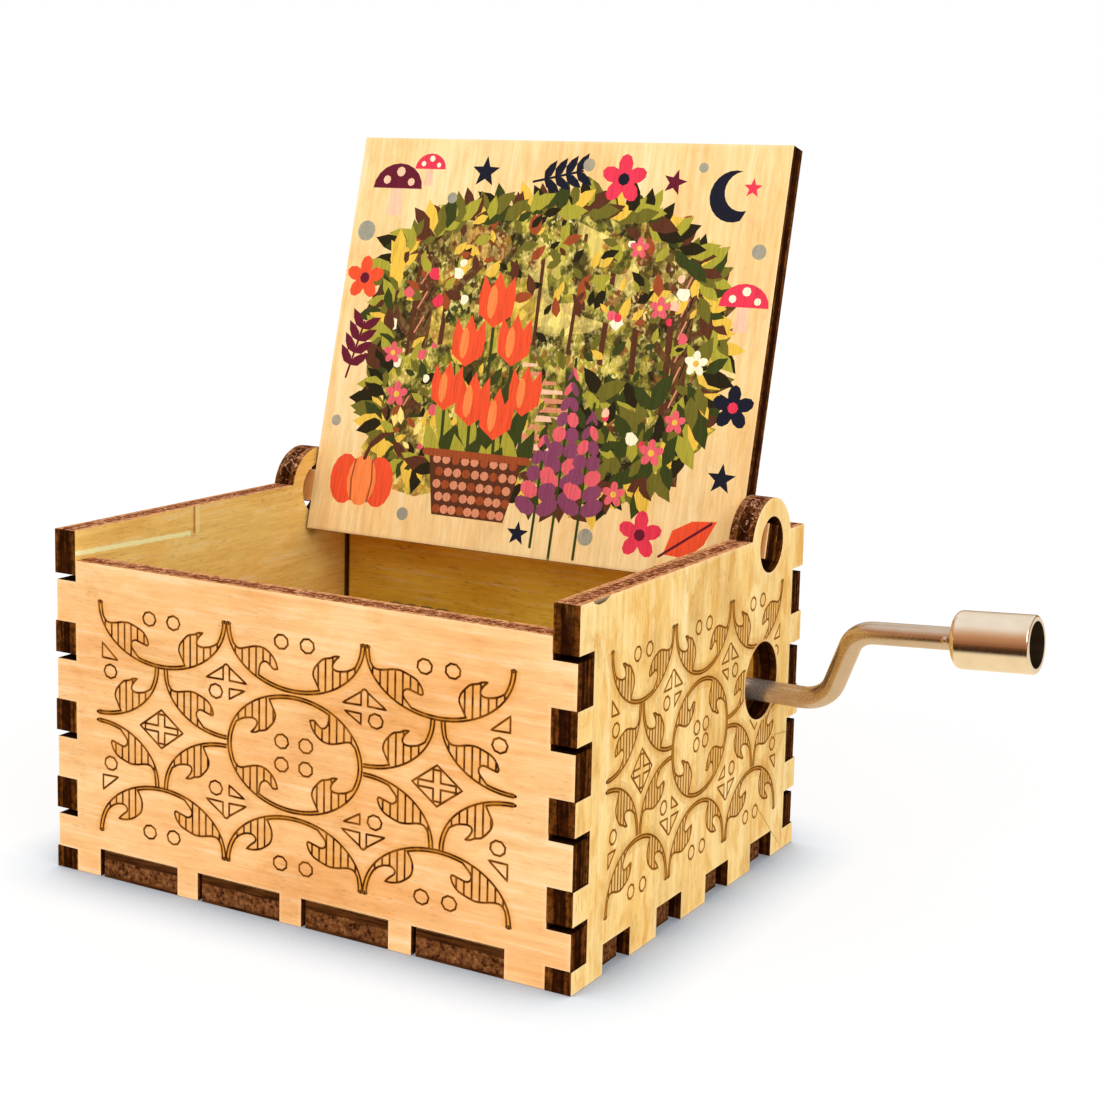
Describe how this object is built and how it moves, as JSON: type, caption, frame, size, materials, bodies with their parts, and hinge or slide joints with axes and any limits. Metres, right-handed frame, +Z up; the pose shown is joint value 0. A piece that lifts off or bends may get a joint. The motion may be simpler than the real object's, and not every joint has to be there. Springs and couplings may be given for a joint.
{
  "type": "music box",
  "caption": "Small finger-jointed plywood music box with a hinged lid standing open, a bent hand crank on its right side and a pinned-cylinder movement inside.",
  "frame": {"origin": "centre of the box's underside", "axes": "+Z up, +X towards the crank, +Y towards the back, where the lid is hinged"},
  "size_m": [0.0954, 0.0547, 0.0794],
  "materials": {
    "birch_ply": "pale birch plywood faces, edges burnt dark brown by the laser, ornament scored brown",
    "lid_ply": null,
    "zinc_casting": "grey zinc die casting, matt",
    "zinc_screw": "zinc-plated steel",
    "comb_steel": "ground spring steel",
    "lead": "dull lead",
    "bright_screw": "bright steel, slotted",
    "shaft_steel": "ground steel",
    "drum_brass": "satin brass",
    "pin_steel": "bright steel",
    "white_plastic": "white moulded plastic",
    "worm_steel": "turned steel",
    "clip_steel": "dark spring steel",
    "nickel_plate": "polished nickel plate"
  },
  "bodies": {
    "box": {"front_wall": "birch_ply", "back_wall": "birch_ply", "left_wall": "birch_ply", "right_wall": "birch_ply", "bottom_board": "birch_ply", "movement_base": "zinc_casting", "base_screws": "zinc_screw", "comb": "comb_steel", "comb_weights": "lead", "comb_screws": "bright_screw", "arbor": "shaft_steel"},
    "lid": {"lid": "lid_ply"},
    "crank": {"drive_shaft": "shaft_steel", "worm": "worm_steel", "retaining_clip": "clip_steel", "crank_rod": "nickel_plate"},
    "knob": {"crank_knob": "nickel_plate"},
    "cylinder": {"cylinder_drum": "drum_brass", "front_cap": "white_plastic", "worm_wheel": "white_plastic", "tune_pins": "pin_steel"}
  },
  "joints": [
    {"name": "lid_hinge", "type": "hinge", "parent": "box", "child": "lid", "pos_m": [0, 0.0168, 0.0365], "axis": [-1, 0, 0], "range_deg": [-105.4, 55]},
    {"name": "crank_turn", "type": "hinge", "parent": "box", "child": "crank", "pos_m": [0.032, 0.0155, 0.0202], "axis": [1, 0, 0], "continuous": true},
    {"name": "knob_spin", "type": "hinge", "parent": "crank", "child": "knob", "pos_m": [0.05905, 0.01188, 0.03015], "axis": [0.9969, -0.0268, 0.0737], "continuous": true},
    {"name": "cylinder_turn", "type": "hinge", "parent": "box", "child": "cylinder", "pos_m": [-0.0135, 0, 0.0117], "axis": [0, 1, 0], "continuous": true}
  ],
  "couplings": [
    {"joint": "cylinder_turn", "follows": "crank_turn", "ratio": 0.0625}
  ]
}
